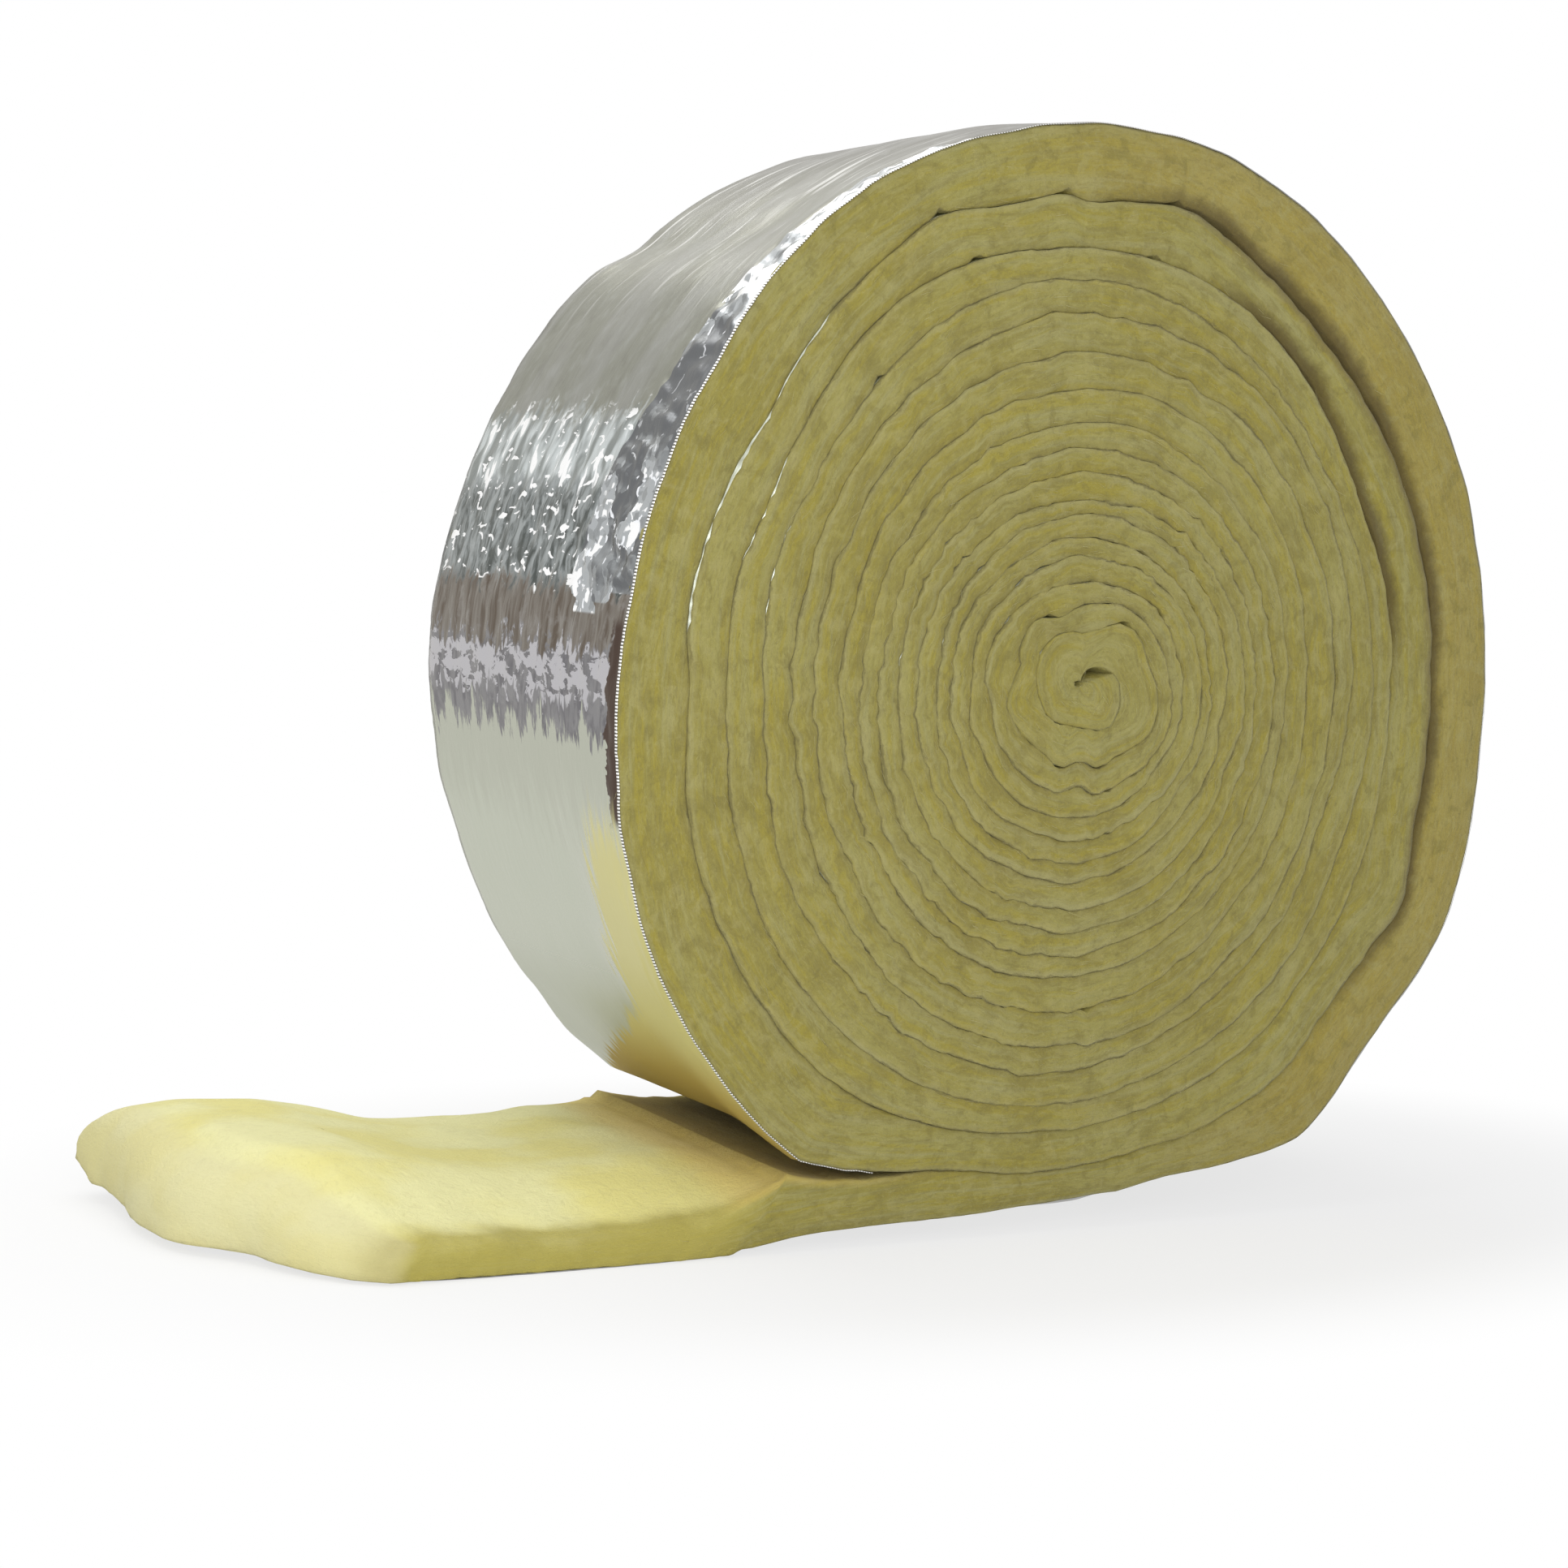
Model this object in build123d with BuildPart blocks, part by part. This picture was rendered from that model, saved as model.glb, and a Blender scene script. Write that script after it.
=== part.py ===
from build123d import *
import math
import os

# A roll of glass wool insulation with a foil facing, wound up by hand and lying on its side.
# Millimetres. The origin is on the floor under the middle of the roll, +Z is up and +Y runs
# along the axis of the roll. The free end of the blanket lies out on the floor along -X.

# The roll
roll_radius = 420.0
roll_width = 300.0

# The blanket: its thickness lying loose, under the roll, and in the tightly wound turns
blanket_thickness = 54.0
pressed_thickness = 50.0
wound_thickness = 22.0
facing_thickness = 1.0

# The eye that the turns are wound round, a little off the middle of the slumped roll
eye_offset = -21.0
eye_rise = 5.0
eye_length = 44.0
eye_gap = 17.0
eye_tilt = 25.0
core_radius = 62.0

# The crease between the turns, sunk into both ends
crease_width = 5.0
crease_depth = 14.0

# The flat that the roll's weight presses on the floor, to the right of the middle
foot_reach = 60.0

# The free end: its reach from the middle, its lifted lip and the wave of its upper side
tail_reach = 682.0
lip_length = 92.0
lip_lift = 20.0
lip_round = 30.0
tail_wave = (-2.0, -7.0, 2.0, 16.0, 8.0)

# Where the roll comes down on its free end: the rise of the free end's upper side there, and
# the share of a turn in which the blanket under the roll takes its full thickness
nip_rise = 14.0
nip_share = 0.08

# How far the slumped turns stand out of round: direction from +X towards +Z, and size
slump = (
    (0, 13), (46, 0), (80, 0), (103, -10), (150, -22), (184, -21), (205, -9),
    (238, 0), (270, 8), (297, 23), (321, 21), (335, 31), (360, 13),
)

# The arcs that follow the outside, from where it leaves the foot, and the steps of the crease:
# arcs in the loose outer turns, and flats in the pressed turns within
foot_angle = 297
outside_arcs = 6
crease_step = 21 / 360
loose_turns = 3

eye_height = roll_radius + eye_rise
nip_drop = eye_height - blanket_thickness - nip_rise
nip_angle = 180 + math.degrees(math.asin(nip_drop / roll_radius))


def slump_at(angle):
    """The size by which the turns stand out of round in one direction."""
    heading = angle % 360
    for (low, before), (high, after) in zip(slump, slump[1:]):
        if low <= heading <= high:
            share = (1 - math.cos(math.pi * (heading - low) / (high - low))) / 2
            return before + (after - before) * share


def about_eye(radius, angle):
    """A point of the section, by its distance and direction from the eye."""
    heading = math.radians(angle)
    return (eye_offset + radius * math.cos(heading), eye_height + radius * math.sin(heading))


def outside_point(inset, angle):
    """A point of the outermost turn, or of a line that far inside its outer face."""
    return about_eye(roll_radius + slump_at(angle) - inset, angle)


def facing_line(inset):
    """Lip, floor, right side, top and left side down to the nip, that far inside the facing."""
    lip_end = (-tail_reach + lip_round / 4, lip_lift + inset)
    lip = TangentArc((-tail_reach + lip_length, inset), lip_end, tangent=(-1, 0))
    floor = Line(lip @ 0, (foot_reach, inset))
    rise = TangentArc(floor @ 1, outside_point(inset, foot_angle), tangent=(1, 0))
    sweep = (nip_angle + 360 - foot_angle) / outside_arcs
    for arc in range(outside_arcs):
        angle = foot_angle + sweep * arc
        ThreePointArc(*[outside_point(inset, angle + sweep * part) for part in (0, 0.5, 1)])
    return lip @ 1, outside_point(inset, nip_angle)


def cover(turns):
    """The thickness of blanket that lies outside the crease, that many turns in from the nip."""
    outer_turn = pressed_thickness * min(1, max(0, turns) / nip_share)
    return outer_turn + wound_thickness * max(0, turns - nip_share)


def crease_point(side, turns):
    """A point of one wall of the crease, that many turns in from the nip."""
    angle = nip_angle + 360 * turns
    radius = roll_radius - cover(turns)
    slumped = slump_at(angle) * radius / roll_radius
    return about_eye(radius + slumped + side * crease_width / 2, angle)


def crease_wall(side):
    """One wall of the crease, from just outside the nip inwards to the core."""
    begin = -nip_share / 4
    wound = (roll_radius - core_radius - pressed_thickness) / wound_thickness
    arcs = round(loose_turns / crease_step)
    flats = math.ceil((wound - loose_turns) / crease_step)
    for arc in range(arcs):
        turns = [begin + (arc + part) * crease_step for part in (0, 0.5, 1)]
        ThreePointArc(*[crease_point(side, turn) for turn in turns])
    turns = [begin + (arcs + place) * crease_step for place in range(flats + 1)]
    Polyline(*[crease_point(side, turn) for turn in turns])
    return crease_point(side, begin), crease_point(side, turns[-1])


# The wool: floor side, round the roll to the nip, and back over the free end
with BuildPart() as wool_blanket:
    with BuildSketch(Plane.XZ):
        with BuildLine():
            lip_end, round_end = facing_line(facing_thickness)
            nip = Line(round_end, outside_point(0, nip_angle))
            start = nip @ 1
            stride = (tail_reach - lip_round + start.X) / len(tail_wave)
            crests = [
                (start.X - stride * (place + 1), blanket_thickness + wave)
                for place, wave in enumerate(tail_wave)
            ]
            upper = Spline(start, *crests)
            middle = (upper @ 1 + lip_end) / 2
            ThreePointArc(upper @ 1, (-tail_reach, middle.Y), lip_end)
        make_face()
    extrude(amount=roll_width / 2, both=True)
    # The crease winds from the nip to the core on both ends
    near_end = Plane.XZ.offset(roll_width / 2)
    far_end = Plane.XZ.offset(crease_depth - roll_width / 2)
    with BuildSketch(near_end, far_end):
        with BuildLine():
            outer_ends = crease_wall(1)
            inner_ends = crease_wall(-1)
            Line(outer_ends[0], inner_ends[0])
            Line(outer_ends[1], inner_ends[1])
        make_face()
    extrude(amount=-crease_depth, mode=Mode.SUBTRACT)
    # The eye runs through the core
    with BuildSketch(Plane.XZ):
        with Locations((eye_offset, eye_height)):
            SlotOverall(eye_length, eye_gap, rotation=eye_tilt)
    extrude(amount=roll_width / 2, both=True, mode=Mode.SUBTRACT)

# The foil facing: a thin skin on the outer side of the blanket, from its lip to the nip
with BuildPart() as foil_facing:
    with BuildSketch(Plane.XZ):
        with BuildLine():
            outer_ends = facing_line(0)
            inner_ends = facing_line(facing_thickness)
            Line(outer_ends[0], inner_ends[0])
            Line(outer_ends[1], inner_ends[1])
        make_face()
    extrude(amount=roll_width / 2, both=True)

wool_blanket.part.label = "wool_blanket"
foil_facing.part.label = "foil_facing"

os.makedirs("parts", exist_ok=True)
export_step(wool_blanket.part, "parts/wool_blanket.step")
export_step(foil_facing.part, "parts/foil_facing.step")
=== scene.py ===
import bisect
import math
import random

import bmesh
import bpy
from mathutils import Matrix, Vector, noise


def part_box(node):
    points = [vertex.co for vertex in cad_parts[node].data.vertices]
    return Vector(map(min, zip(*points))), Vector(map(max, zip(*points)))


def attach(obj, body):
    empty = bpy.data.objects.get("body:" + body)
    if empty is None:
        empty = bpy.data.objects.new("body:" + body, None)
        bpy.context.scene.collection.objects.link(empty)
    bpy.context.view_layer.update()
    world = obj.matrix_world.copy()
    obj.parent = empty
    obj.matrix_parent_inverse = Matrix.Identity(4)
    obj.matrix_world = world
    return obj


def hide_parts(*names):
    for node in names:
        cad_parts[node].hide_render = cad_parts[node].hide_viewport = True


# A roll of foil-faced glass wool, wound up by hand, with its free end lying out on the floor.
# The blanket is made as it is on the line: a flat strip, then wound turn by turn about the eye.
# A place along it is its turn, counted from the nip where the roll comes down on the free end:
# from -1 to 0 is the free end, from its tip to the nip, and each whole number is once round.

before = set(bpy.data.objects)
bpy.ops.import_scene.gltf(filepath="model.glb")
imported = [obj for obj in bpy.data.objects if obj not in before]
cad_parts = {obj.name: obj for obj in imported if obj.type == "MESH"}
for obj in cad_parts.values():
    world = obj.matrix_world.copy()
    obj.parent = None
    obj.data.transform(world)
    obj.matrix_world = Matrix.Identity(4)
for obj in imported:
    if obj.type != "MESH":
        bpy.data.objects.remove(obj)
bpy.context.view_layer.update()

mm = 0.001
wool_low, wool_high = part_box("wool_blanket")
half_width = (wool_high.y - wool_low.y) / 2

# The camera of the photograph
camera_place = (-1.2726, -1.7075, 0.4791)
camera_target = (-0.2801, -0.1496, 0.3418)
camera_roll = 4.4554
camera_lens = 60.0

# The roll: its radius, the eye that it is wound about, the nip and the end of its flat foot
roll_radius = 420 * mm
eye_x = -21 * mm
eye_z = roll_radius + 5 * mm
nip_angle = 238.2
foot_angle = 280.8

# The outside of the roll from its foot to the nip: direction from the eye and share of the radius
outside_marks = (
    (280.8, 1.03), (286.1, 1.033), (291.6, 1.044), (297.1, 1.06), (307.6, 1.078), (321, 1.058),
    (335.2, 1.082), (360, 1.043), (385, 1.028), (406, 1.014), (425, 1.011), (440, 1.006),
    (463, 0.988), (486, 0.975), (507, 0.952), (525, 0.946), (544, 0.951), (560, 0.972),
    (590, 0.994), (598.2, 1.0),
)

# The crease inside the loose outer turns, with the kinks of the slumped wool, in the same terms
loose_crease_marks = (
    (238.2, 1.0), (248, 0.949), (257, 0.909), (269, 0.899), (284, 0.899), (296, 0.92),
    (308, 0.934), (319, 0.917), (328, 0.927), (335, 0.951), (344, 0.913), (360, 0.891),
    (381, 0.877), (397, 0.863), (413, 0.851), (429, 0.863), (440, 0.884), (448, 0.866),
    (454, 0.854), (459, 0.869), (467, 0.857), (476, 0.874), (484, 0.856), (498, 0.834),
    (511, 0.813), (524, 0.824), (536, 0.826), (544, 0.814), (559, 0.837), (576, 0.846),
    (598, 0.853), (616, 0.834), (629, 0.823), (647, 0.826), (669, 0.834), (678, 0.823),
    (693, 0.813), (720, 0.777), (734, 0.773), (750, 0.751), (764, 0.76), (780, 0.773),
    (800, 0.777), (819, 0.774), (835, 0.78), (849, 0.777), (862, 0.756), (878, 0.739),
    (890, 0.751), (904, 0.743), (920, 0.756), (936, 0.77), (958, 0.777), (979, 0.777),
    (995, 0.773), (1041, 0.763), (1057, 0.737), (1080, 0.734), (1110, 0.706), (1126, 0.701),
    (1149, 0.713), (1181, 0.72), (1209, 0.699), (1227, 0.68), (1250, 0.684), (1271, 0.673),
    (1287, 0.691), (1310, 0.696), (1323, 0.709), (1349, 0.713), (1378, 0.699), (1401, 0.691),
    (1417, 0.669), (1440, 0.672),
)

# The tight turns: the crease's distance from the eye over, left, under and right of it, from the
# third turn on, turn by turn
tight_from = 3
tight_turns = (
    (452, (277, 248, 223, 196, 176, 160, 140, 128, 110, 95, 77)),
    (540, (258, 240, 217, 200, 185, 168, 151, 133, 120, 104, 91)),
    (635, (280, 252, 227, 210, 191, 173, 152, 137, 120, 103)),
    (720, (263, 234, 212, 197, 179, 166, 147, 131, 121, 103)),
)

# The crumpled core, down to the eye: direction and distance in millimetres
core_marks = (
    (5227, 86), (5302, 84), (5316, 78), (5324, 86), (5385, 94), (5440, 76), (5495, 59),
    (5520, 56), (5537, 66), (5557, 64), (5572, 60), (5594, 71), (5605, 70), (5628, 62),
    (5644, 63), (5660, 67), (5676, 59), (5693, 69), (5703, 66), (5728, 78), (5742, 82),
    (5779, 66), (5798, 65), (5815, 58), (5833, 43), (5855, 39), (5879, 42), (5897, 46),
    (5940, 42), (5988, 38), (6036, 34), (6080, 44), (6120, 38), (6160, 22), (6212, 4.5),
    (6260, 3.5), (6300, 5), (6350, 2.5), (6396, 1.5), (6440, 2), (6480, 3), (6510, 3),
)
last_angle = 6500

# The free end: the height of its upper side along the near and far borders, by the way along X,
# and the reach of its tip across the width, from the near border at -1 to the far one at 1
near_border_marks = (
    (-690, 44), (-663, 48), (-607, 46), (-549, 38), (-489, 30), (-427, 28), (-363, 31), (-331, 34),
    (-297, 39), (-264, 48), (-242, 57),
)
far_border_marks = (
    (-690, 56), (-679, 65), (-662, 72), (-646, 75), (-615, 76), (-565, 74), (-519, 66),
    (-465, 55), (-417, 53), (-354, 56), (-333, 58), (-274, 55), (-242, 53),
)
tip_marks = (
    (-1.0, 560), (-0.93, 582), (-0.8, 602), (-0.65, 618), (-0.45, 634), (-0.3, 658), (-0.15, 673),
    (0.0, 676), (0.3, 679), (0.57, 675), (0.84, 681), (1.0, 684),
)
tip_lift_marks = (
    (-1.0, 0), (-0.8, 2), (-0.5, 5), (0.0, 6), (0.3, 9), (0.6, 12), (0.84, 13), (0.92, 18),
    (1.0, 24),
)
end_round_low = 5 * mm
end_round_near = 26 * mm
end_round_far = 10 * mm

# The foil's thickness, and how far the wool lies inside the face that foil and wool share: under
# the foil, in the wound turns, along the borders, and how much more in the middle of the width
foil_thickness = 0.6 * mm
wool_lift = 1.4 * mm
wound_lift = 0.12 * mm
border_lift = 0.5 * mm
sunk_middle = 5.0 * mm

# How finely the blanket is divided along it, and its rows from the outer to the inner side
free_end_stations = 76
outer_turn_step = 6.0 * mm
inner_turn_step = 5.4 * mm
thickness_places = (0.0, 0.05, 0.22, 0.45, 0.65, 0.8, 0.9, 0.96, 1.0)
thickness_rows = len(thickness_places) - 1
core_least_distance = 25 * mm

# The turn at which the outermost face ends, and the turns over which the closer fit of the
# inner turns sets in
outer_face_stop = 1.08
fit_from = 1.02
fit_to = 1.12


def mix(low, high, share):
    """The value that lies at that share of the way from low to high."""
    return low + (high - low) * share


def ease(value, start, end):
    """From 0 at start to 1 at end, smoothly."""
    share = min(max((value - start) / (end - start), 0), 1)
    return share * share * (3 - 2 * share)


def curve_through(marks):
    """The smooth curve through (place, value) marks, as a function of the place."""
    places = [place for place, _ in marks]
    values = [value for _, value in marks]
    slopes = []
    for here in range(len(marks)):
        back = max(here - 1, 0)
        ahead = min(here + 1, len(marks) - 1)
        slopes.append((values[ahead] - values[back]) / (places[ahead] - places[back]))

    def at(place):
        left = min(max(bisect.bisect_right(places, place) - 1, 0), len(places) - 2)
        span = places[left + 1] - places[left]
        share = min(max((place - places[left]) / span, 0), 1)
        cubed = share ** 3
        squared = share ** 2
        return (
            values[left] * (2 * cubed - 3 * squared + 1)
            + values[left + 1] * (3 * squared - 2 * cubed)
            + slopes[left] * span * (cubed - 2 * squared + share)
            + slopes[left + 1] * span * (cubed - squared)
        )

    return at


def angle_of(turn):
    return nip_angle + 360 * turn


def turn_at(angle):
    return (angle - nip_angle) / 360


def all_crease_marks():
    """The marks of the whole crease, from the nip to the eye, in degrees and metres."""
    marks = [(angle, share * roll_radius) for angle, share in loose_crease_marks]
    for angle, distances in tight_turns:
        for place, distance in enumerate(distances):
            marks.append((angle + 360 * (tight_from + place), distance * mm))
    marks = sorted(mark for mark in marks if mark[0] < core_marks[0][0])
    marks += [(angle, distance * mm) for angle, distance in core_marks]
    return marks


outside_at = curve_through(outside_marks)
crease_at = curve_through(all_crease_marks())
near_border_at = curve_through(near_border_marks)
far_border_at = curve_through(far_border_marks)
tip_at = curve_through(tip_marks)
tip_lift_at = curve_through(tip_lift_marks)

# The open gap between two turns, in millimetres by the turn of the crease, and the small pits
# where a kink holds two turns apart
gap_at = curve_through((
    (0.0, 0.2), (0.21, 0.2), (0.25, 2.0), (0.3, 3.5), (0.36, 4.5), (0.42, 6.0), (0.47, 7.0),
    (0.53, 6.0), (0.57, 2.0), (0.6, 0.5), (1.0, 0.2), (1.33, 0.5), (1.38, 3.0), (1.45, 5.0),
    (1.5, 3.5), (1.54, 0.5), (3.0, 0.1), (18.0, 0.1),
))
pit_turns = (0.564, 0.611, 0.661, 1.57, 1.652, 2.713, 5.11, 14.685, 15.48)
pit_gap = 4.0 * mm
pit_reach = 8.0 * mm

# How far the end of the wool is drawn back at the floor side and at the upper side of the
# blanket, or at the outer and inner side of a turn, in millimetres: each turn's outer edge is
# crisp and stands out a little, and its inner side falls back to the next turn
outer_round_at = curve_through((
    (-1.0, 3), (-0.1, 1.5), (0.1, 2), (0.25, 1.2), (1.0, 1.0), (1.2, 0.5), (16.2, 0.3), (16.5, 0.1),
    (17.5, 0.1),
))
inner_round_at = curve_through((
    (-1.0, 24), (-0.3, 20), (-0.08, 10), (0.02, 4), (0.12, 4), (0.22, 6), (0.3, 8), (0.48, 9),
    (0.55, 6), (0.62, 3.5), (1.0, 2.8), (1.3, 4), (1.4, 7), (1.5, 6), (1.56, 2.5), (3, 1.5),
    (13, 1.3), (15.2, 1.2), (15.6, 0.3), (16.6, 0.3), (17, 1),
))

# How far the foil and the wool under it stand out beyond the near border's line, from the middle
# of the width to the far border, and the lift of the near and far borders under the roll
far_swell_at = curve_through((
    (0.0, 0), (0.5, 0), (0.56, 8), (0.6, 10), (0.64, 2), (0.68, -7), (0.695, -9), (0.72, 1),
    (0.74, 3), (0.76, 3), (0.8, 3), (0.84, 4), (0.88, -5), (0.92, -11), (0.98, -12), (1.0, -12),
    (1.04, -7), (1.08, 0), (17, 0),
))
lift_at = curve_through((
    (-1.0, 0), (-0.06, 0), (0.0, 4), (0.012, 10), (0.025, 13), (0.06, 16), (0.096, 22), (0.115, 26),
    (0.133, 26), (0.148, 22), (0.164, 16), (0.18, 7), (0.193, 0), (17, 0),
))

# How far the upper side of the blanket sags at the nip, at the far border and all across, and
# how far the foil is set back from the ends, in millimetres
far_sag = -2
near_sag = 12
foil_set_back_at = curve_through((
    (-1.0, 9), (-0.8, 2), (-0.3, 2), (0.0, 5), (0.1, 8), (0.16, 4), (0.2, 1.2), (0.48, 0.8),
    (0.55, -0.8), (0.6, -1.4), (1.0, -1.4),
))


def ripple(run, across, size, layer):
    """Smooth random heights from -1 to 1, by the place on the flat blanket and their size."""
    return noise.noise(Vector((run / size, across / size, layer)))


def point_about_eye(distance, angle):
    heading = math.radians(angle)
    return Vector((eye_x + distance * math.cos(heading), eye_z + distance * math.sin(heading)))


def nesting(distance, angle, turn):
    """What neighbouring turns share of their lumps and kinks, and what each has of its own."""
    place = point_about_eye(distance, angle)
    shared = noise.noise(Vector((place.x / 0.06, place.y / 0.06, 3.0)))
    heading = math.radians(angle)
    spoke = Vector((math.cos(heading), math.sin(heading), 0)) * (distance / 0.04)
    kinks = abs(noise.noise(spoke + Vector((0, 0, turn * 0.4)))) - 0.22
    run = 2 * math.pi * distance * turn
    own = noise.noise(Vector((run / 0.014, 8.0, 0.0)))
    own += 1.3 * noise.noise(Vector((run / 0.034, 9.0, 0.0)))
    free = ease(turn, 1.6, 3.4) * (1 - 0.6 * ease(turn, 13.5, 15.0))
    return ((2.6 * shared - 5.5 * kinks) * free + 2.0 * own * (0.5 + 0.5 * free)) * mm


def open_gap(turn, distance):
    """The gap between two turns, opened further at the pits."""
    gap = gap_at(turn) * mm
    if gap > 1 * mm:
        gap *= 1 + 0.9 * noise.noise(Vector((turn * 45, 7.0, 0)))
    for pit in pit_turns:
        away = abs(turn - pit) * 2 * math.pi * distance
        gap += pit_gap * (1 - ease(away, 0.0, pit_reach))
    return gap


def crease_distance(turn):
    angle = angle_of(turn)
    distance = crease_at(angle)
    return distance + nesting(distance, angle, turn)


def outside_distance(turn):
    """The outside of the outermost turn: along the floor to the foot, then round the roll."""
    angle = angle_of(turn)
    if angle <= foot_angle:
        return -eye_z / math.sin(math.radians(angle))
    return outside_at(angle) * roll_radius


class Section:
    """A cut across the blanket at one turn: its outer and inner point and the run from the tip."""

    def __init__(self, turn, run):
        self.turn = turn
        self.run = run
        angle = angle_of(max(turn, 0))
        if turn < 1:
            outer = outside_distance(max(turn, 0))
        else:
            outer = crease_distance(turn - 1)
        inner = crease_distance(max(turn, 0))
        inner += open_gap(max(turn, 0), inner)
        self.outer = point_about_eye(outer, angle)
        self.inner = point_about_eye(min(inner, outer - 3 * mm), angle)
        self.outward = (self.outer - self.inner).normalized()
        self.thickness = (self.outer - self.inner).length


nip_section = Section(0, 0)
free_length = tip_at(0.5) * mm + nip_section.outer.x


def make_sections():
    """The sections of the whole blanket, from the tip of the free end to the eye."""
    sections = []
    for place in range(free_end_stations):
        share = 1 - place / free_end_stations
        sections.append(Section(-share, free_length * (1 - share)))
    turn = 0.0
    run = free_length
    last_turn = turn_at(last_angle)
    while turn < last_turn:
        sections.append(Section(turn, run))
        step = outer_turn_step if turn < 1.1 else inner_turn_step
        distance = max(crease_distance(turn), core_least_distance)
        turn += step / (2 * math.pi * distance)
        run += step
    return sections


def outer_face(section, v):
    """A point of the outer side of a turn, with the lumps that foil and wool share there."""
    turn = section.turn
    place = section.outer.copy()
    if turn >= outer_face_stop:
        return place
    run = turn * 2 * math.pi * roll_radius
    across = v * half_width
    broad = 1.6 * ripple(run, across, 0.11, 1.0) + 0.7 * ripple(run, across, 0.05, 2.0)
    border = 1.8 * ripple(run, 0, 0.042, 4.0 if v < 0 else 5.0) * ease(abs(v), 0.7, 1.0)
    on_roll = ease(turn, 0.15, 0.24) * (1 - ease(turn, 0.985, 1.0))
    swell = (broad + border) * on_roll + far_swell_at(turn) * ease(v, -1.0, -0.2)
    place += section.outward * (swell * mm)
    place.y += lift_at(turn) * mm * ease(abs(v), 0.45, 1.0)
    return place


def free_end_point(section, u, v):
    """A point of the free end: u from its floor side to its upper side, v across the width."""
    share = -section.turn
    across = v * half_width
    torn = 4.0 * ripple(across, 0, 0.035, 13.0) + 2.5 * ripple(across, u, 0.014, 14.0)
    reach = -(tip_at(v) + torn) * mm
    high_round = mix(end_round_near, end_round_far, ease(v, 0.1, 0.9))
    end_round = end_round_low if u < 0.5 else high_round
    rounding = end_round * (2 * u - 1) ** 2 * ease(share, 0.84, 1.0)
    nip_top = nip_section.inner.x + nip_section.outward.x * near_sag * mm
    low = mix(nip_section.outer.x, reach, share)
    high = mix(nip_top, reach, share)
    x = mix(low, high, u) + rounding
    crest = mix(high, x, ease(share, 0.0, 0.3)) / mm
    top = mix(near_border_at(crest), far_border_at(crest), ease(v, -0.95, -0.35)) * mm
    top *= 1 - 0.16 * ease(abs(v), 0.75, 1.0) * ease(share, 0.0, 0.25)
    top *= 1 - 0.22 * ease(share, 0.86, 1.0) * ease(-v, -0.6, 0.2)
    fluff = 2.6 * ripple(x, across, 0.045, 11.0) + 1.5 * ripple(x, across, 0.018, 12.0)
    top += fluff * mm * ease(share, 0.0, 0.12)
    rise = tip_lift_at(v) * mm * ease(share, 0.8, 0.97)
    rise += lift_at(section.turn) * mm * ease(abs(v), 0.45, 1.0)
    return Vector((x, across, wool_lift + rise + (top - wool_lift - rise) * u))


def roll_point(section, u, v):
    """A point of the wound part: u from the outer to the inner side of the turn."""
    turn = section.turn
    lift = mix(wool_lift, wound_lift, ease(turn, fit_from, fit_to))
    if turn < fit_from:
        lift = mix(lift, border_lift, ease(abs(v), 0.93, 1.0) * ease(turn, 0.1, 0.2))
        lift += sunk_middle * ease(turn, 0.1, 0.2) * (1 - ease(abs(v), 0.93, 1.0))
    outer = outer_face(section, v) - section.outward * lift
    sag = far_sag * ease(v, -0.6, 0.7) * (1 - ease(turn, 0.0, 0.1))
    sag += near_sag * (1 - ease(turn, 0.0, 0.05))
    inner = section.inner + section.outward * (sag * mm)
    place = outer.lerp(inner, u)
    return Vector((place.x, v * half_width, place.y))


def drawn_back(section, u, v):
    """How far the end face of the wool lies behind the cut, at its rounded sides and lumps."""
    border = ease(abs(v), 0.6, 1.0)
    if border == 0:
        return 0
    turn = section.turn
    run = section.run
    rounded = 0.35
    through = u * section.thickness
    layer = 20.0 if v < 0 else 30.0
    loose = 0.75 + 1.3 * ripple(run, 0, 0.06, layer + 3)
    if turn < 0.6:
        loose = max(loose, 0.6)
    if u > rounded:
        depth = inner_round_at(turn) * max(loose, 0.1) * ((u - rounded) / (1 - rounded)) ** 2.0
    elif v < 0:
        depth = outer_round_at(turn) * (1 - u / rounded) ** 3
    else:
        depth = outer_round_at(turn) * 3.5 * (1 - u / rounded) ** 1.5
    telescope = 1.4 * noise.noise(Vector((turn * 1.7, layer, 0.0)))
    lump = 2.2 * ripple(run, through, 0.034, layer + 1)
    tuft = 1.4 * ripple(run, through * 2, 0.012, layer + 2)
    bare = max(ease(u, 0.0, 0.3), ease(turn, 1.0, 1.1), 1 - ease(turn, 0.1, 0.2))
    under_foil = mix(0.3, 1.0, bare)
    return (depth + (telescope + lump + tuft) * under_foil) * mm * border


def blanket_point(section, u, v):
    place = free_end_point(section, u, v) if section.turn < 0 else roll_point(section, u, v)
    place.y -= drawn_back(section, u, v) * (1 if v > 0 else -1)
    return place


def flat_strip(bm, stations, rows):
    """The flat blanket, x by station, y from -1 to 1 across the width, z by row through it."""
    turn_up = Matrix.Rotation(math.radians(90), 4, "X")
    place = Matrix.Translation((stations / 2, -1, rows / 2))
    spread = Matrix.Diagonal((stations / 2, 1, rows / 2, 1))
    bmesh.ops.create_grid(
        bm, x_segments=stations, y_segments=rows, size=1, matrix=place @ spread @ turn_up
    )
    made = bmesh.ops.extrude_face_region(bm, geom=bm.faces[:], use_keep_orig=True)
    far_side = [item for item in made["geom"] if isinstance(item, bmesh.types.BMVert)]
    bmesh.ops.translate(bm, verts=far_side, vec=(0, 2, 0))
    bmesh.ops.recalc_face_normals(bm, faces=bm.faces[:])


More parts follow.
